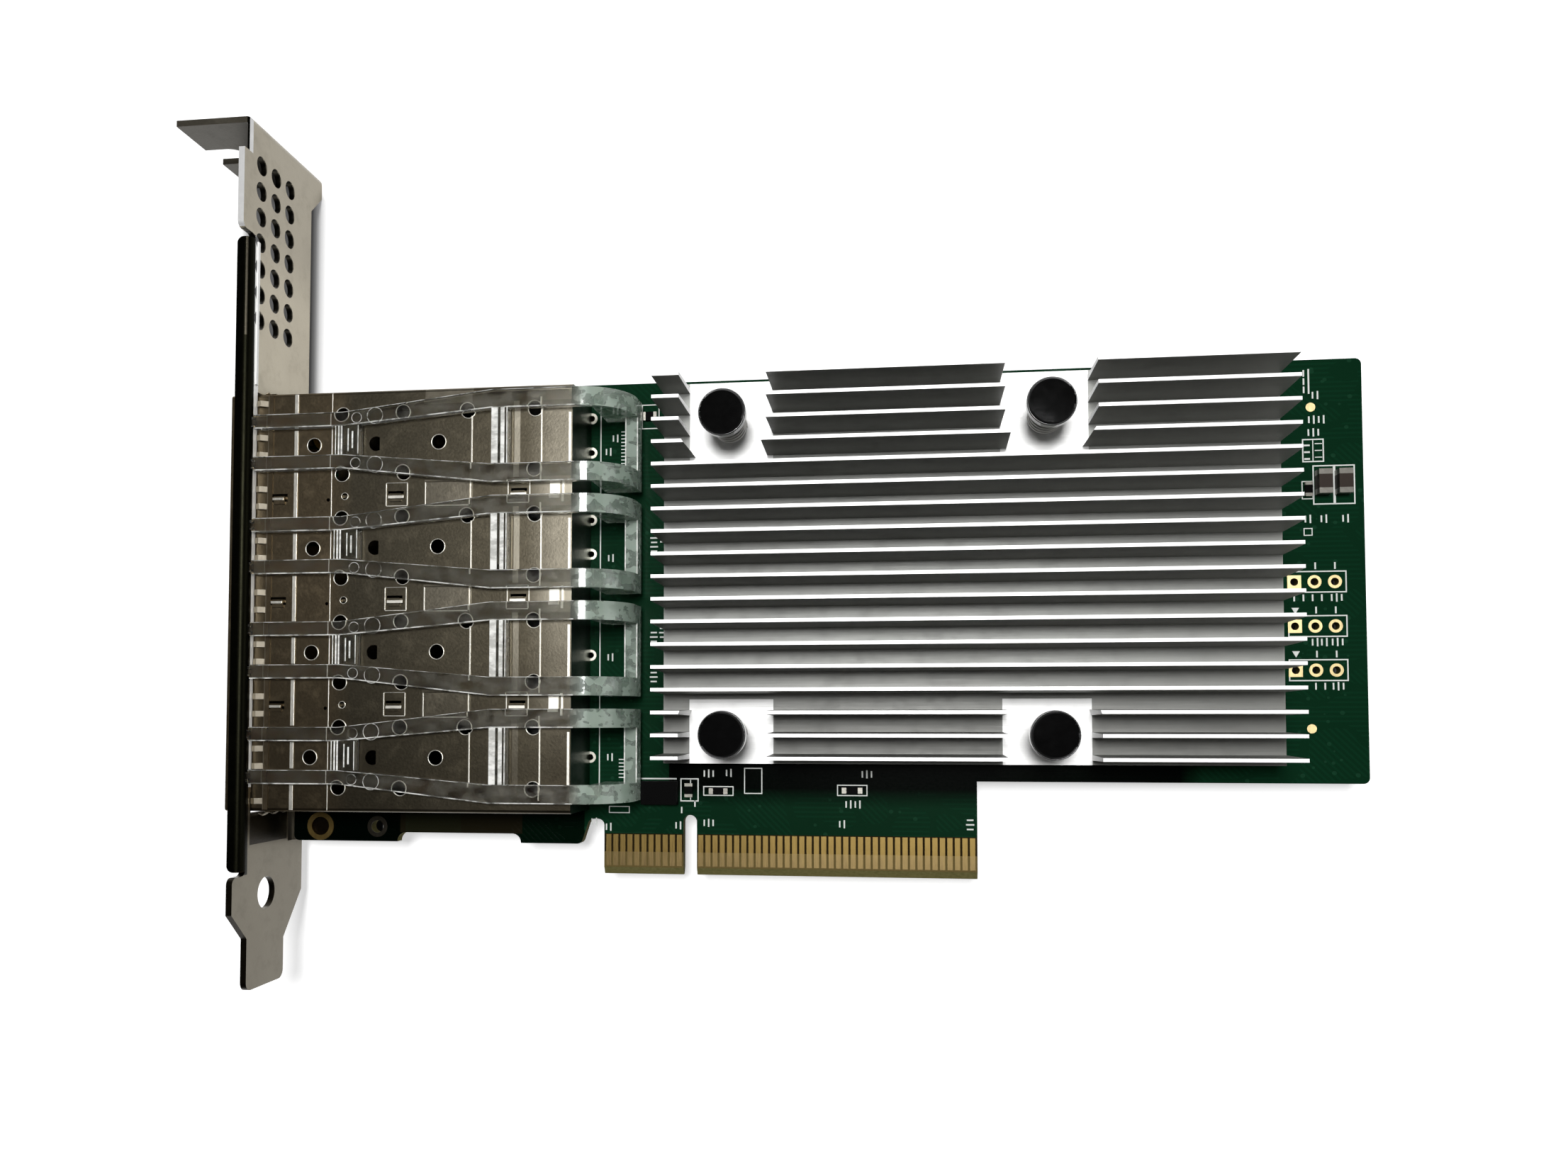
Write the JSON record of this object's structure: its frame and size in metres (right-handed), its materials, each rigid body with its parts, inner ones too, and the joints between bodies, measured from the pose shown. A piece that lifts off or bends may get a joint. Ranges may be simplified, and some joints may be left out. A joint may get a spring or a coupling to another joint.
{
  "type": "network interface card",
  "caption": "Low-profile network adapter board with a row of pluggable optical ports behind a full-height bracket, clear light pipes, a finned heat sink on push pins and a keyed edge connector.",
  "frame": {"origin": "centre of the edge connector's key notch in X, the connector's lower edge in Y, the board's component face in Z", "axes": "+X along the card away from the bracket, +Y up from the connector, +Z out of the component face"},
  "size_m": [0.1596, 0.12, 0.0216],
  "materials": {
    "bracket_steel": "plated cold-rolled steel, satin",
    "cage_nickel": "nickel-plated copper alloy",
    "ceramic_tan": "brown ceramic body",
    "chip_black": "moulded package",
    "clear_polycarbonate": "clear moulded light pipe",
    "connector_black": "moulded glass-filled plastic",
    "crystal_can": "seam-welded metal lid",
    "ferrite_grey": "pressed iron powder",
    "gap_filler": "soft thermal pad",
    "gold_plating": "gold flash over nickel",
    "lamp_body": "surface-mounted lamp",
    "pin_black": "glossy black nylon",
    "sink_aluminium": "extruded aluminium, clear anodised",
    "solder_mask_board": "semi-gloss green solder mask",
    "spring_steel": "thin stainless spring sheet",
    "spring_wire": "drawn spring wire",
    "tinned_copper": "bright tin"
  },
  "bodies": {
    "root": {"alignment_marks": "gold_plating", "board_inserts": "gold_plating", "bracket_screws": "spring_wire", "cage_cover": "cage_nickel", "cage_divider_1": "cage_nickel", "cage_divider_2": "cage_nickel", "cage_divider_3": "cage_nickel", "cage_floor": "cage_nickel", "cage_ground_fingers": "spring_steel", "circuit_board": "solder_mask_board", "component_side_terminals": "tinned_copper", "connector_contacts_1": "tinned_copper", "connector_contacts_2": "tinned_copper", "connector_contacts_3": "tinned_copper", "connector_contacts_4": "tinned_copper", "controller_chip": "chip_black", "controller_solder_balls": "tinned_copper", "crystal": "crystal_can", "decoupling_capacitors": "ceramic_tan", "edge_contacts_component_side": "gold_plating", "edge_contacts_solder_side": "gold_plating", "header_pads": "gold_plating", "heat_sink": "sink_aluminium", "large_capacitors": "ceramic_tan", "light_pipe_1": "clear_polycarbonate", "light_pipe_2": "clear_polycarbonate", "light_pipe_3": "clear_polycarbonate", "light_pipe_4": "clear_polycarbonate", "light_pipe_pads": "tinned_copper", "margin_chip_parts": "chip_black", "memory_chip": "chip_black", "memory_chip_leads": "tinned_copper", "mounting_bracket": "bracket_steel", "port_connector_1": "connector_black", "port_connector_2": "connector_black", "port_connector_3": "connector_black", "port_connector_4": "connector_black", "port_lamps": "lamp_body", "power_inductor_feet": "tinned_copper", "power_inductors": "ferrite_grey", "push_pin_springs": "spring_wire", "push_pins": "pin_black", "solder_side_capacitors": "ceramic_tan", "solder_side_terminals": "tinned_copper", "supply_module": "chip_black", "thermal_pad": "gap_filler", "tooling_hole_ring": "tinned_copper"}
  },
  "joints": []
}
